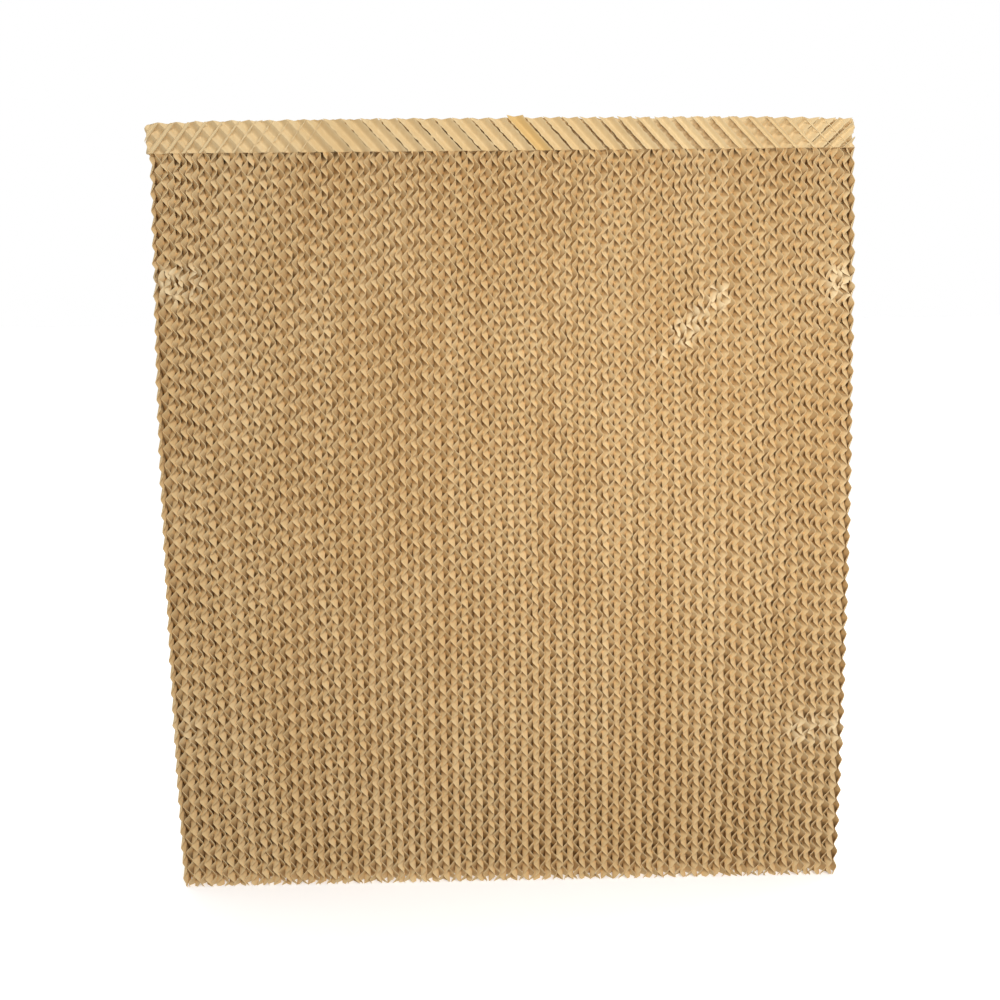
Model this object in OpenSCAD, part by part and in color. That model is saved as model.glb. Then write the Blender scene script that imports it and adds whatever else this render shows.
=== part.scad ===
// Evaporative cooling pad: a block of corrugated kraft-paper sheets, with a water spreading strip of
// the same paper glued along its top. Millimetres, +Z up, standing on its base.
// The block's sheets stand side by side along X, with their flutes rising and falling by turns into the
// depth. The strip's sheets stand one behind another along Y, so that its flutes run along the pad.
// Neighbouring sheets are taken two by two: a rising sheet, a falling sheet and the air between them
// are one solid, and the wavy gap to the next pair is open all the way through.

/* [Block] */
// Width of the block, across its sheets
pad_w = 600; // [200:1:1200]
// Height of the block, without the strip
pad_h = 650; // [200:1:2000]
// Depth of the block and of the strip, along the air flow
pad_t = 100; // [50:1:300]

/* [Strip] */
// Height of the spreading strip
strip_h = 26; // [15:1:80]
// How far the strip reaches past the block's left side
strip_overhang = 3.5; // [0:0.5:10]

/* [Corrugation] */
// Distance from one sheet to the next
sheet_pitch = 5.17; // [4:0.01:9]
// Length of one wave along a cut edge
wave_pitch = 14.7; // [10:0.1:25]
// Angle of the flutes to the air flow
flute_angle = 45; // [20:1:60]
// Thickness of the paper
paper_t = 0.4; // [0.2:0.05:0.8]
// Clearance left between two pairs where their crests meet
crest_gap = 0.15; // [0.1:0.05:0.4]

/* [Hidden] */

banks = 6;
block_pairs = round(pad_w / (2 * sheet_pitch));
strip_pairs = round(pad_t / (2 * sheet_pitch));
total_w = pad_w + strip_overhang;
flute_pitch = wave_pitch * cos(flute_angle);
kraft = "BurlyWood";

// Each sheet was cut from the web at its own place, so its waves start at their own height
function wave_start(sheet) = (sheet * sheet * 0.618034) % 1;

// Zigzag through a sheet's crests and troughs, in the plane square to its flutes
function zigzag(half_waves, reach, start, side) = [
    for (k = [-half_waves:half_waves])
        [(k + 2 * start) * flute_pitch / 2, side + (k % 2 == 0 ? reach : -reach)]
];

// All that lies to the right (facing = 1) or to the left (facing = -1) of one fluted sheet
module fluted_half(high, deep, sheet, facing, slope, pitch) {
    reach = (pitch - crest_gap - paper_t) / 2;
    half_waves = ceil((high * cos(flute_angle) + deep * sin(flute_angle)) / flute_pitch) + 4;
    far = facing * 4 * pitch;
    line = zigzag(half_waves, reach, wave_start(sheet), -facing * paper_t / 2);
    first = line[0];
    last = line[len(line) - 1];
    translate([0, deep / 2, high / 2])
        rotate([slope * flute_angle, 0, 0])
            rotate([-90, -90, 0])
                linear_extrude(2 * (high + deep), center = true)
                    polygon(concat(line, [[last[0], far], [first[0], far]]));
}

// A rising sheet and the falling sheet to its right, cut to the block's height and depth
module sheet_pair(high, deep, pair, pitch) {
    intersection() {
        translate([-pitch, 0, 0])
            cube([2 * pitch, deep, high]);
        translate([-pitch / 2, 0, 0])
            fluted_half(high, deep, 2 * pair, 1, 1, pitch);
        translate([pitch / 2, 0, 0])
            fluted_half(high, deep, 2 * pair + 1, -1, -1, pitch);
    }
}

// Pairs first to last of a stack that is "wide" across and has "pairs" of them in all
module stack(wide, high, deep, pairs, first, last) {
    pitch = wide / (2 * pairs);
    for (pair = [first:last])
        translate([(2 * pair + 1) * pitch, 0, 0])
            sheet_pair(high, deep, pair, pitch);
}

module block_bank(bank) {
    first = floor(bank * block_pairs / banks);
    last = floor((bank + 1) * block_pairs / banks) - 1;
    color(kraft)
        translate([total_w / 2 - pad_w, -pad_t / 2, 0])
            stack(pad_w, pad_h, pad_t, block_pairs, first, last);
}

module strip_sheets() {
    color(kraft)
        translate([-total_w / 2, -pad_t / 2, pad_h])
            rotate([90, 0, 90])
                stack(pad_t, total_w, strip_h, strip_pairs, 0, strip_pairs - 1);
}

block_bank(0);  // block_sheets_1
block_bank(1);  // block_sheets_2
block_bank(2);  // block_sheets_3
block_bank(3);  // block_sheets_4
block_bank(4);  // block_sheets_5
block_bank(5);  // block_sheets_6
strip_sheets();
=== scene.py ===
import math

import bpy
import numpy as np
from mathutils import Matrix, Vector


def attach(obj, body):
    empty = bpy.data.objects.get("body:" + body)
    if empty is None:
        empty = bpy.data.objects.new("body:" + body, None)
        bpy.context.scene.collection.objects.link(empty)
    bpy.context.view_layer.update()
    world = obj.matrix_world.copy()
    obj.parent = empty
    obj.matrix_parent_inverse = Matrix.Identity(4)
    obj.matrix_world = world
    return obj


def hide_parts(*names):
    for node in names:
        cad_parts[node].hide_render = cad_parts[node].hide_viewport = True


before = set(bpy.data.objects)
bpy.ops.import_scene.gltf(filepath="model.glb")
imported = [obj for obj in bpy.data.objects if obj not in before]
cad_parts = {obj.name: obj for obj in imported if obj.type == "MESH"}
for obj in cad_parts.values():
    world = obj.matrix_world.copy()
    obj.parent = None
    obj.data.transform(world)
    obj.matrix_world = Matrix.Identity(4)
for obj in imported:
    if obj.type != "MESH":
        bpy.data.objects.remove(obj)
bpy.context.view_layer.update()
print("frame loaded:", len(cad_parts), "nodes")

mm = 0.001  # the sheets are worked out in millimetres
goldenPart = 0.618034
foldAngle = 58  # degrees, past which a fold in the paper shows as an edge
rangeSockets = ("From Min", "From Max", "To Min", "To Max")


# Where a sheet's waves start: the square of its number times the golden ratio, without the whole part
def waveStart(sheet):
    return (sheet * sheet * goldenPart) % 1


# Flute profile: the arcsine of a cosine, scaled to run from 1 to -1, so flanks are nearly straight
# and crests round
def fluteWave(phase, blunt):
    return np.arcsin(blunt * np.cos(2 * np.pi * phase)) / math.asin(blunt)


wanderLook = {"sines": 3, "shortest": 0.6, "longest": 1.7}  # shares of the length asked for


# Slow wander along a sheet: sines of random length and start, added up to about one either way
def wander(rng, place, length):
    def sine():
        turns = place / (length * rng.uniform(wanderLook["shortest"], wanderLook["longest"]))
        return np.sin(2 * np.pi * (turns + rng.random()))

    return sum([sine() for _ in range(wanderLook["sines"])]) / 2


# Steps across the waves from first to last phase, drawn together at the crests by a sine of twice
# the frequency
def waveSteps(first, last, perWave, pull):
    t = np.arange(math.floor(first * perWave), math.ceil(last * perWave) + 1) / perWave
    return t - pull * np.sin(4 * np.pi * t)


# A closed slab of paper: the middle surface (rows x columns x 3) moved half the thickness both ways
# along its normals, which are the cross products of its two slopes, with a rim round the border
def paperSlab(middle, thick):
    across, along = np.gradient(middle, axis=0), np.gradient(middle, axis=1)
    normal = np.cross(across, along)
    normal /= np.maximum(np.linalg.norm(normal, axis=2, keepdims=True), 1e-9)
    rows, columns = middle.shape[:2]
    points = np.concatenate([
        (middle + normal * thick / 2).reshape(-1, 3),
        (middle - normal * thick / 2).reshape(-1, 3),
    ])
    a = np.arange(rows * columns).reshape(rows, columns)
    b = a + rows * columns

    def quads(*corners):
        return np.stack([c.ravel() for c in corners], axis=1)

    faces = np.concatenate([
        quads(a[:-1, :-1], a[1:, :-1], a[1:, 1:], a[:-1, 1:]),
        quads(b[:-1, :-1], b[:-1, 1:], b[1:, 1:], b[1:, :-1]),
        quads(a[1:, 0], a[:-1, 0], b[:-1, 0], b[1:, 0]),
        quads(a[:-1, -1], a[1:, -1], b[1:, -1], b[:-1, -1]),
        quads(a[0, :-1], a[0, 1:], b[0, 1:], b[0, :-1]),
        quads(a[-1, 1:], a[-1, :-1], b[-1, :-1], b[-1, 1:]),
    ])
    return points, faces


# Slabs joined into one object: points and faces one after another, with each point's crushed share
# and its sheet's own tone as attributes
def paperPiece(name, slabs, material, nodes):
    points, faces, crushed, tone, count = [], [], [], [], 0
    for (slabPoints, slabFaces), share, slabTone in slabs:
        points.append(slabPoints)
        faces.append(slabFaces + count)
        crushed.append(np.concatenate([share.ravel(), share.ravel()]))
        tone.append(np.full(len(slabPoints), slabTone))
        count += len(slabPoints)
    points, faces = np.concatenate(points) * mm, np.concatenate(faces)
    mesh = bpy.data.meshes.new(name)
    mesh.vertices.add(len(points))
    mesh.vertices.foreach_set("co", points.astype(np.float32).ravel())
    mesh.loops.add(faces.size)
    mesh.loops.foreach_set("vertex_index", faces.astype(np.int32).ravel())
    mesh.polygons.add(len(faces))
    mesh.polygons.foreach_set("loop_start", np.arange(0, faces.size, 4, dtype=np.int32))
    mesh.update(calc_edges=True)
    mesh.polygons.foreach_set("use_smooth", np.ones(len(faces), dtype=bool))
    mesh.set_sharp_from_angle(angle=math.radians(foldAngle))
    for label, values in (("crushed", crushed), ("sheetTone", tone)):
        layer = mesh.attributes.new(label, "FLOAT", "POINT")
        layer.data.foreach_set("value", np.concatenate(values).astype(np.float32))
    mesh.validate()
    piece = bpy.data.objects.new(name, mesh)
    bpy.context.scene.collection.objects.link(piece)
    mesh.materials.append(material)
    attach(piece, "root")
    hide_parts(*nodes)
    print(name, "has", 2 * len(faces), "triangles")


kraftLook = {
    "block": {
        "pale": (0.85, 0.635, 0.345),
        "deep": (0.77, 0.535, 0.255),
        # painted highlight: the light tone that the saw-cut edges are pulled towards
        "cut": (0.81, 0.61, 0.335),
        "crushed": (0.87, 0.68, 0.41),
    },
    "strip": {
        "pale": (0.83, 0.64, 0.365),
        "deep": (0.73, 0.53, 0.27),
        # painted highlight: the light tone that the saw-cut edges are pulled towards
        "cut": (0.83, 0.65, 0.38),
        "crushed": (0.87, 0.68, 0.41),
    },
    "aged": (0.74, 0.50, 0.20),  # a flute of older, browner paper
    "agedTones": (1.2, 2.2),  # sheet tones over which the paper turns to it
    "blotch": {"scale": 14, "detail": 2, "stretch": (1, 1, 0.6), "share": 0.7},
    "fibre": {"scale": 420, "detail": 2, "stretch": (1, 1, 0.35), "share": 0.55},
    "toneShare": 0.2,
    "deepening": (0.45, 1.0),  # sums of blotch, fibre and tone over which pale turns to deep
    "cutDepth": 0.6,  # mm of painted highlight along a cut edge, a lighter colour standing in for the edge catching the light
    "cutRagged": 0.5,
    "cutShare": 0.35,
    "crushedFibre": (0.2, 0.6, 0.6, 1.0),  # fibre noise from and to, share from and to
    "roughFibre": (0.3, 0.7),
    "roughness": (0.72, 0.92),
    "gloss": 0.25,
    "bump": {"strength": 0.35, "height": 0.25},
}


# Kraft paper: pale and deep brown mixed by soft blotches, fibres and each sheet's tone, with a painted
# highlight along saw cuts (a lighter tone for cut edges catching the light), and paler where crushed
def kraftPaper(name, look, frontY, backY):
    material = bpy.data.materials.new(name)
    material.use_nodes = True
    nodes, links = material.node_tree.nodes, material.node_tree.links
    shader = nodes["Principled BSDF"]
    shader.inputs["Specular IOR Level"].default_value = kraftLook["gloss"]
    place = nodes.new("ShaderNodeTexCoord").outputs["Object"]

    def noise(grain):
        mapping = nodes.new("ShaderNodeMapping")
        mapping.inputs["Scale"].default_value = grain["stretch"]
        texture = nodes.new("ShaderNodeTexNoise")
        texture.inputs["Scale"].default_value = grain["scale"]
        texture.inputs["Detail"].default_value = grain["detail"]
        links.new(place, mapping.inputs["Vector"])
        links.new(mapping.outputs["Vector"], texture.inputs["Vector"])
        return texture.outputs["Fac"]

    def span(value, low, high, first=0.0, last=1.0):
        node = nodes.new("ShaderNodeMapRange")
        node.interpolation_type = "SMOOTHSTEP"
        for socket, number in zip(rangeSockets, (low, high, first, last)):
            node.inputs[socket].default_value = number
        links.new(value, node.inputs["Value"])
        return node.outputs["Result"]

    def maths(operation, one, other):
        node = nodes.new("ShaderNodeMath")
        node.operation = operation
        for socket, value in zip(node.inputs, (one, other)):
            if isinstance(value, (int, float)):
                socket.default_value = value
            else:
                links.new(value, socket)
        return node.outputs["Value"]

    def blend(share, one, other):
        node = nodes.new("ShaderNodeMix")
        node.data_type = "RGBA"
        links.new(share, node.inputs["Factor"])
        for socket, value in ((node.inputs[6], one), (node.inputs[7], other)):  # the two colours
            if isinstance(value, tuple):
                socket.default_value = (*value, 1)
            else:
                links.new(value, socket)
        return node.outputs[2]

    def attribute(label):
        node = nodes.new("ShaderNodeAttribute")
        node.attribute_name = label
        return node.outputs["Fac"]

    blotch, fibre = noise(kraftLook["blotch"]), noise(kraftLook["fibre"])
    blotchPart = maths("MULTIPLY", blotch, kraftLook["blotch"]["share"])
    fibrePart = maths("MULTIPLY", fibre, kraftLook["fibre"]["share"])
    tonePart = maths("MULTIPLY", attribute("sheetTone"), kraftLook["toneShare"])
    mixed = maths("ADD", blotchPart, maths("ADD", fibrePart, tonePart))
    paper = blend(span(mixed, *kraftLook["deepening"]), look["pale"], look["deep"])
    paper = blend(span(attribute("sheetTone"), *kraftLook["agedTones"]), paper, kraftLook["aged"])
    # Painted highlight: within cutDepth of the front and back saw cuts, made ragged by the fibre noise, the
    # colour is pulled towards the cut colour, which stands in for cut edges catching the light
    axes = nodes.new("ShaderNodeSeparateXYZ")
    links.new(place, axes.inputs["Vector"])
    fromFront = maths("SUBTRACT", axes.outputs["Y"], frontY)
    fromBack = maths("SUBTRACT", backY, axes.outputs["Y"])
    cutDepth = kraftLook["cutDepth"] * mm
    ragged = maths("MULTIPLY", fibre, kraftLook["cutRagged"] * cutDepth)
    depth = maths("SUBTRACT", maths("MINIMUM", fromFront, fromBack), ragged)
    paper = blend(span(depth, 0.0, cutDepth, kraftLook["cutShare"], 0.0), paper, look["cut"])
    crushed = maths("MULTIPLY", attribute("crushed"), span(fibre, *kraftLook["crushedFibre"]))
    paper = blend(crushed, paper, look["crushed"])
    links.new(paper, shader.inputs["Base Color"])
    rough = span(fibre, *kraftLook["roughFibre"], *kraftLook["roughness"])
    links.new(rough, shader.inputs["Roughness"])
    bump = nodes.new("ShaderNodeBump")
    bump.inputs["Strength"].default_value = kraftLook["bump"]["strength"]
    bump.inputs["Distance"].default_value = kraftLook["bump"]["height"] * mm
    links.new(fibre, bump.inputs["Height"])
    links.new(bump.outputs["Normal"], shader.inputs["Normal"])
    return material


block = {
    "left": -298.25, "right": 301.75, "front": -50.0, "back": 50.0, "height": 650.0,
    "sheets": 116, "seed": 5000, "paper": 0.36,
    "waveLength": 14.7, "reach": 2.72,  # reach is half the height of a wave
    "outerReach": 0.6,  # share of it left in the outermost sheets, which are pressed flatter
    "blunt": 0.90, "perWave": 8, "pull": 0.04,
    "rows": (0.0, 0.03, 0.09, 1.0),  # shares of the depth
    "trim": 0.7, "endGap": 0.5, "endStep": 0.05,  # how a sheet stops short of the base and the top
    "stretch": 0.006,  # how far a sheet's wave length strays
    "phaseWander": (0.05, 160),  # each wander: how much, and over what length
    "swell": (0.05, 60),
    "leanWander": (0.2, 220),
    "edgeBend": (0.3, 22),
    "edgeJitter": 0.5, "jitterShares": (0.6, 0.4), "jitterLength": 25, "jitterDepth": 20,
    "sideGap": 0.3, "foldGap": 0.25,  # left at the block's sides, before and after folding
    "bulge": 4.7, "nip": 1.3,  # mm that each side bows out at half height, and comes in at the corners
    "banks": ((0, 18), (18, 38), (38, 58), (58, 76), (76, 96), (96, 116)),
}
crushMarks = (  # centre x, centre z, half width, half height, how hard
    (-277.0, 541.0, 24.0, 18.0, 1.0),  # four strap marks
    (291.0, 536.0, 16.0, 17.0, 0.9),
    (274.0, 138.0, 30.0, 15.0, 0.9),
    (-285.0, 148.0, 15.0, 14.0, 0.5),
    (133.0, 474.0, 9.0, 8.0, 0.8),  # the scuff's spots
    (154.0, 495.0, 13.0, 13.0, 1.0),
    (167.0, 509.0, 12.0, 12.0, 1.0),
    (183.0, 524.0, 12.0, 12.0, 1.0),
)
crushFold = {
    "rim": (1.05, 0.3),  # where a mark ends and how softly, as shares of its size
    "patchy": (0.8, 0.5, 9),  # mean, wander and its length
    "turn": (0.4, 2.5, 12),
    "sideways": (1.9, 0.6, 8, 0.5),  # the same, and jitter
    "inwards": (1.0, 0.5, 7, 0.3),
    "secondRow": (0.5, 0.6),  # how far the paper behind the edge gives way, sideways and outwards
    "shares": (1.0, 0.9, 0.0, 0.0),  # crushed colour on each row
}


# Share of crushing at a place on the front: full inside each mark's rounded box (a fourth-power
# ellipse), fading at its rim
def crushAt(x, z):
    rim, softness = crushFold["rim"]
    share = np.zeros_like(x)
    for markX, markZ, halfWide, halfHigh, hard in crushMarks:
        reach = (((x - markX) / halfWide) ** 4 + ((z - markZ) / halfHigh) ** 4) ** 0.25
        share = np.maximum(share, hard * np.clip((rim - reach) / softness, 0, 1))
    return share


# One sheet of the block: waves in x, carried straight into the depth at 45 degrees up (even sheets)
# or down (odd ones), and cut off at the front, back, top and base. Where it was crushed, its front
# edge lies folded to one side.
def blockSheet(sheet):
    rng = np.random.default_rng(block["seed"] + sheet)
    left, right, high, length = block["left"], block["right"], block["height"], block["waveLength"]
    deep, trim = block["back"] - block["front"], block["trim"]
    pitch = (right - left) / block["sheets"]
    rising = sheet % 2 == 0

    # u is the height at which a wave meets the front, or would meet it past the base or the top
    low, top = (-deep + trim, high - trim) if rising else (trim, high + deep - trim)
    datum = high / 2 + (-deep / 2 if rising else deep / 2)
    firstWave, lastWave = (low - datum) / length - 2, (top - datum) / length + 2
    steps = waveSteps(firstWave, lastWave, block["perWave"], block["pull"])
    u = (steps + rng.random()) * length + datum
    much, over = block["phaseWander"]
    u = u + (u - high / 2) * block["stretch"] * rng.normal() + much * length * wander(rng, u, over)
    keep = (u > low + block["endGap"]) & (u < top - block["endGap"])
    steps = steps[keep]
    u = np.concatenate([[low], u[keep], [top]])
    phase = np.concatenate([[steps[0] - block["endStep"]], steps, [steps[-1] + block["endStep"]]])
    near = np.maximum(0, -u) if rising else np.maximum(0, u - high)
    far = np.minimum(deep, high - u) if rising else np.minimum(deep, u)
    v = near[:, None] + (far - near)[:, None] * np.array(block["rows"])

    # the waves themselves
    isOuter = sheet in (0, block["sheets"] - 1)
    reach = block["reach"] * (block["outerReach"] if isOuter else 1)
    much, over = block["swell"]
    swell = 1 + much * wander(rng, u, over)
    x = left + (sheet + 0.5) * pitch + reach * swell * fluteWave(phase, block["blunt"])
    much, over = block["leanWander"]
    x = np.clip(x + much * wander(rng, u, over), left + block["sideGap"], right - block["sideGap"])
    x = np.repeat(x[:, None], v.shape[1], axis=1)
    much, over = block["edgeBend"]
    x[:, 0] += much * wander(rng, u, over)
    x[:, -1] += much * wander(rng, u, over)
    y = block["front"] + v
    z = u[:, None] + (v if rising else -v)

    # ragged cut edges at front and back
    fine, slow = block["jitterShares"]
    fineJitter = fine * rng.random(len(u))
    slowJitter = slow * (1 + wander(rng, u, block["jitterLength"])) / 2
    full = np.clip((far - near) / block["jitterDepth"], 0, 1)
    y[:, 0] += block["edgeJitter"] * (fineJitter + slowJitter) * full
    y[:, -1] -= block["edgeJitter"] * rng.random(len(u)) * full

    # folds where the front was crushed
    mean, much, over = crushFold["patchy"]
    patchy = np.clip(mean + much * wander(rng, u, over), 0, 1)
    crush = crushAt(x[:, 0], z[:, 0]) * (near == 0) * patchy
    mean, much, over = crushFold["turn"]
    turn = np.clip(much * wander(rng, u, over) + mean, -1, 1)
    mean, much, over, jitter = crushFold["sideways"]
    sideways = turn * (mean + much * wander(rng, u, over))
    x[:, 0] += crush * (sideways + rng.uniform(-jitter, jitter, len(u)))
    mean, much, over, jitter = crushFold["inwards"]
    inwards = mean + much * wander(rng, u, over)
    y[:, 0] += crush * (inwards + rng.uniform(-jitter, jitter, len(u)))
    giveSideways, giveOutwards = crushFold["secondRow"]
    x[:, 1] -= giveSideways * turn * crush
    y[:, 1] -= giveOutwards * crush
    x = np.clip(x, left + block["foldGap"], right - block["foldGap"])

    # the sides' bow, a parabola over the height
    bow = block["bulge"] * (1 - np.clip((2 * z / high - 1) ** 2, 0, 1)) - block["nip"]
    x = x * (1 + bow / right)
    share = crush[:, None] * np.array(crushFold["shares"])
    return paperSlab(np.stack([x, y, z], axis=2), block["paper"]), share, rng.random()


blockPaper = kraftPaper("blockKraft", kraftLook["block"], block["front"] * mm, block["back"] * mm)
for number, (first, last) in enumerate(block["banks"], 1):
    slabs = [blockSheet(sheet) for sheet in range(first, last)]
    paperPiece(f"blockSheets{number}", slabs, blockPaper, [f"block_sheets_{number}"])

strip = {
    "left": -299.8, "right": 299.6, "front": -50.0, "back": 50.0, "low": 650.0, "top": 676.0,
    "sheets": 22, "seed": 7000, "paper": 0.42, "spacing": 5.0, "crestGap": 0.1,
    "blunt": 0.93, "perWave": 10, "pull": 0.05,
    "skew": 0.05, "skewRounds": 4,  # share of a wave that each trough leans to the left
    "rows": {"front": 17, "inside": 3, "back": 9}, "inside": (3, 18),  # the sheets that are inside
    "flutes": (14.7, None, 1.0),  # wave length, start, lean; a sheet without a start takes its own
    "frontFlutes": {0: (13.97, 0.60, 0.79), 1: (15.35, 0.54, 0.96), 2: (14.7, 0.93, 1.0)},
    "halfLength": 300,
    "lie": (2.1, -0.8, -1.84, -2.7),  # second sheet's depth behind the saw cut, a cubic of x / halfLength
    "press": 0.9, "pressFrom": 0.7, "pressOver": 0.2,  # the sheets behind it, squeezed at the right end
    "frontPress": 0.3,  # the first sheet, pressed back
    "cutGap": 0.05, "cutReach": 0.1,  # how far sheets stay behind the saw cuts, and what counts as cut
    "ragged": 0.15, "firstRagged": 0.5, "raggedFrom": -1.2,
    "bands": (0.03, 0.02, 0.4996),  # half widths in waves: least that is kept, narrowest, widest
    "rise": (-0.4, 0.3), "toneSpread": 0.15,
    "proudFlute": {"sheet": 1, "at": 27.0, "rise": 1.8, "tone": 2.2},
    "topBumps": 0.9, "crown": 1.2, "droop": 2.6, "droopRight": 0.25,
    "endWaves": 0.8, "leftRipple": (1.6, 0, 0.12), "rightRipple": (1.5, 1, 0.05), "cornerHigh": 3,
}


# One sheet of the strip: waves in y along slanting flutes in the plane of x and z. The sheets lie
# bowed behind the saw cuts at front and back, which leave only a band of each flute there: its half
# width is the inverse of the wave at the cut.
def stripSheet(sheet):
    rng = np.random.default_rng(strip["seed"] + sheet)
    paper, blunt = strip["paper"], strip["blunt"]
    length, start, lean = strip["frontFlutes"].get(sheet, strip["flutes"])
    start = waveStart(sheet) if start is None else start
    lean = lean if sheet % 2 == 0 else -lean
    reach = (strip["spacing"] - strip["crestGap"] - paper) / 2
    middleZ, halfHigh = (strip["low"] + strip["top"]) / 2, (strip["top"] - strip["low"]) / 2
    firstInside, lastInside = strip["inside"]
    position = "front" if sheet < firstInside else "back" if sheet > lastInside else "inside"
    rows = np.linspace(-halfHigh, halfHigh, strip["rows"][position])
    cutFrontY, cutBackY = strip["front"] + strip["cutGap"], strip["back"] - strip["cutGap"]

    # how far an end stands in: a sine over the height, and a parabola at the upper corner
    def endAt(ripple):
        pitch, shift, corner = ripple
        wavy = strip["endWaves"] * (1 + np.sin(rows / pitch + shift))
        return wavy + corner * np.maximum(0, rows - halfHigh + strip["cornerHigh"]) ** 2

    # depth of the sheet's middle: its place in the stack, the cubic lie, and what presses it
    def depthAt(x):
        along = x / strip["halfLength"]
        squeeze = np.clip((along - strip["pressFrom"]) / strip["pressOver"], 0, 1)
        pressed = strip["press"] * squeeze * (sheet > 1) - strip["frontPress"] * (sheet == 0)
        stacked = strip["front"] + strip["spacing"] * (sheet - 1)
        return stacked + np.polyval(strip["lie"][::-1], along) - pressed

    # how far a wave leans at a phase: a raised cosine, most at the trough
    def skewed(phase):
        return strip["skew"] * (1 + np.cos(2 * np.pi * phase)) / 2

    leftEnd = strip["left"] + endAt(strip["leftRipple"])
    rightEnd = strip["right"] - endAt(strip["rightRipple"])
    waves = math.ceil((strip["right"] + halfHigh) / length) + 1
    tone = rng.random()
    ends = depthAt(np.array([strip["left"], strip["right"]]))
    isCutFront = ends.min() - reach < strip["front"] + strip["cutReach"]
    isCut = isCutFront or ends.max() + reach > strip["back"] - strip["cutReach"]
    middles = [k + (0.0 if isCutFront else 0.5) for k in range(-waves, waves + 1)] if isCut else [0.0]
    least, narrowest, widest = strip["bands"]
    slabs = []
    for middlePhase in middles:
        rise = rng.uniform(*strip["rise"])
        bandTone = tone + rng.uniform(-strip["toneSpread"], strip["toneSpread"])
        if isCut:
            middleX = (middlePhase + start) * length
            depth = depthAt(middleX + lean * rows)
            level = (cutFrontY - depth if isCutFront else depth - cutBackY) / reach
            ragged = strip["ragged"] * (strip["firstRagged"] if sheet == 0 else 1)
            level = level + ragged * rng.uniform(-1, 1, len(rows)) * (level > strip["raggedFrom"])
            cosine = np.sin(np.clip(level, -1, 1) * math.asin(blunt)) / blunt
            half = np.arccos(np.clip(cosine, -1, 1)) / (2 * np.pi)
            if half.max() < least:
                continue
            half = np.clip(half, narrowest, widest)
            phase = middlePhase + np.linspace(-1, 1, strip["perWave"])[:, None] * half[None, :]
            proud = strip["proudFlute"]
            if sheet == proud["sheet"] and abs(middleX - proud["at"]) < length / 2:
                rise, bandTone = proud["rise"], proud["tone"]
        else:
            steps = waveSteps(-waves, waves, strip["perWave"], strip["pull"])
            phase = np.repeat(steps[:, None], len(rows), axis=1)
        x = (phase - skewed(phase) + start) * length + lean * rows[None, :]
        inside = (x > leftEnd) & (x < rightEnd)
        if not inside.any():
            continue
        x = np.clip(x, leftEnd, rightEnd)
        straight = (x - lean * rows[None, :]) / length - start
        phase = straight
        for _ in range(strip["skewRounds"]):  # takes the skew out again, closer each time
            phase = straight + skewed(phase)
        wave = fluteWave(phase, blunt)
        y = np.clip(depthAt(x) + reach * wave, cutFrontY, cutBackY)
        z = middleZ + np.repeat(rows[None, :], x.shape[0], axis=0)
        z[:, -1] += rise - strip["topBumps"] * (1 + wave[:, -1]) / 2
        along = x / strip["halfLength"]
        droop = strip["droop"] * along ** 4 * (1 + strip["droopRight"] * along)
        z += (strip["crown"] - droop) * (rows / halfHigh + 1) / 2
        used = inside.any(axis=1)
        nextUsed, lastUsed = np.concatenate([used[1:], [False]]), np.concatenate([[False], used[:-1]])
        middle = np.stack([x, y, z], axis=2)[nextUsed | lastUsed | used]
        if len(middle) < 3:
            continue
        slabs.append((paperSlab(middle, paper), np.zeros(middle.shape[:2]), bandTone))
    return slabs


stripPaper = kraftPaper("stripKraft", kraftLook["strip"], strip["front"] * mm, strip["back"] * mm)
slabs = [slab for sheet in range(strip["sheets"]) for slab in stripSheet(sheet)]
paperPiece("stripSheets", slabs, stripPaper, ["strip_sheets"])

floorLook = {"size": 80.0, "colour": (0.95, 0.95, 0.95), "roughness": 0.9, "glow": 0.35}
side = floorLook["size"] / 2
corners = [(-side, -side, 0), (side, -side, 0), (side, side, 0), (-side, side, 0)]
floorMesh = bpy.data.meshes.new("paleFloor")
floorMesh.from_pydata(corners, [], [(0, 1, 2, 3)])
paleFloor = bpy.data.objects.new("paleFloor", floorMesh)
bpy.context.scene.collection.objects.link(paleFloor)
floorPaint = bpy.data.materials.new("floorPaint")
floorPaint.use_nodes = True
floorShader = floorPaint.node_tree.nodes["Principled BSDF"]
floorShader.inputs["Base Color"].default_value = (*floorLook["colour"], 1)
floorShader.inputs["Roughness"].default_value = floorLook["roughness"]
floorShader.inputs["Emission Color"].default_value = (1, 1, 1, 1)
floorShader.inputs["Emission Strength"].default_value = floorLook["glow"]
floorMesh.materials.append(floorPaint)
paleFloor.visible_diffuse = False  # the studio floor sends no light back up
print("floor laid")

studio = {
    "behind": 1.0, "front": 0.38,  # soft light from the white wall behind the pad, and the room in front
    "turnover": (-0.15, 0.1),  # directions along Y between which the one gives way to the other
    "key": {"at": (0.6, -3.0, 2.6), "aim": (0, 0, 0.35), "size": 0.9, "power": 50.0, "spread": 180},
    "fill": {"at": (0.26, -1.15, 0.5), "aim": (0.17, 0, 0.41), "size": 0.25, "power": 1.45, "spread": 84},
    "rear": {"at": (-0.7, 1.6, 1.5), "aim": (0, 0, 0.35), "size": 0.9, "power": 8.0, "spread": 180},
}
world = bpy.data.worlds.new("studioWorld")
bpy.context.scene.world = world
world.use_nodes = True
skyNodes, skyLinks = world.node_tree.nodes, world.node_tree.links
skyAxes = skyNodes.new("ShaderNodeSeparateXYZ")
skyRamp = skyNodes.new("ShaderNodeMapRange")
for socket, number in zip(rangeSockets, (*studio["turnover"], studio["front"], studio["behind"])):
    skyRamp.inputs[socket].default_value = number
skyLinks.new(skyNodes.new("ShaderNodeTexCoord").outputs["Generated"], skyAxes.inputs["Vector"])
skyLinks.new(skyAxes.outputs["Y"], skyRamp.inputs["Value"])
skyShow = skyNodes.new("ShaderNodeMix")  # the room in front is dimmer, but shows as white as the wall
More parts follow.
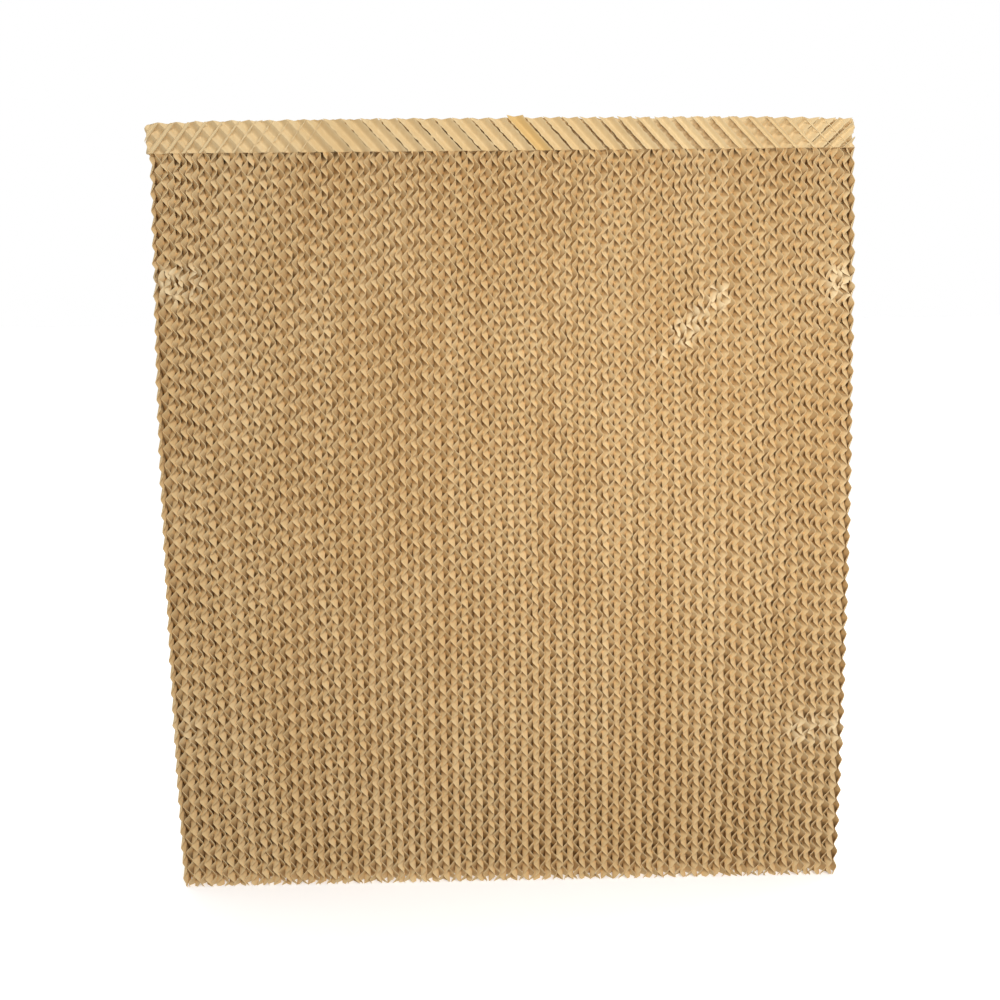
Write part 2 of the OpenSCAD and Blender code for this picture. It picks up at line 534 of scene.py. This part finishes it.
skyShow.inputs["B"].default_value = studio["behind"]
skyLinks.new(skyNodes.new("ShaderNodeLightPath").outputs["Is Camera Ray"], skyShow.inputs["Factor"])
skyLinks.new(skyRamp.outputs["Result"], skyShow.inputs["A"])
skyLinks.new(skyShow.outputs["Result"], skyNodes["Background"].inputs["Strength"])
skyNodes["Background"].inputs["Color"].default_value = (1, 1, 1, 1)
for label in ("key", "fill", "rear"):
    setting = studio[label]
    lamp = bpy.data.lights.new(label + "Light", "AREA")
    lamp.energy, lamp.size, lamp.spread = setting["power"], setting["size"], math.radians(setting["spread"])
    holder = bpy.data.objects.new(label + "Light", lamp)
    aim = Vector(setting["aim"]) - Vector(setting["at"])
    facing = aim.to_track_quat("-Z", "Y").to_matrix().to_4x4()
    holder.matrix_world = Matrix.Translation(setting["at"]) @ facing
    bpy.context.scene.collection.objects.link(holder)
bpy.context.scene.view_settings.view_transform = "Standard"
print("studio lit")

shot = {
    "at": (-0.0282, -1.2145, 0.5211), "pitch": 8.27, "yaw": 1.14, "roll": -0.65,
    "lens": 48.384, "sensor": 36.0, "clip": (0.05, 50),
}
pitch, yaw, roll = (math.radians(shot[angle]) for angle in ("pitch", "yaw", "roll"))
ahead = Vector((math.sin(yaw) * math.cos(pitch), math.cos(yaw) * math.cos(pitch), -math.sin(pitch)))
level = Vector((math.cos(yaw), -math.sin(yaw), 0))
upright = level.cross(ahead)
sideways = math.cos(roll) * level + math.sin(roll) * upright
upward = -math.sin(roll) * level + math.cos(roll) * upright
camera = bpy.data.cameras.new("shotCamera")
camera.lens, camera.sensor_fit = shot["lens"], "HORIZONTAL"
camera.sensor_width, camera.sensor_height = shot["sensor"], shot["sensor"]
camera.clip_start, camera.clip_end = shot["clip"]
cameraHolder = bpy.data.objects.new("shotCamera", camera)
facing = Matrix((sideways, upward, -ahead)).transposed().to_4x4()
cameraHolder.matrix_world = Matrix.Translation(shot["at"]) @ facing
bpy.context.scene.collection.objects.link(cameraHolder)
bpy.context.scene.camera = cameraHolder
print("camera set")
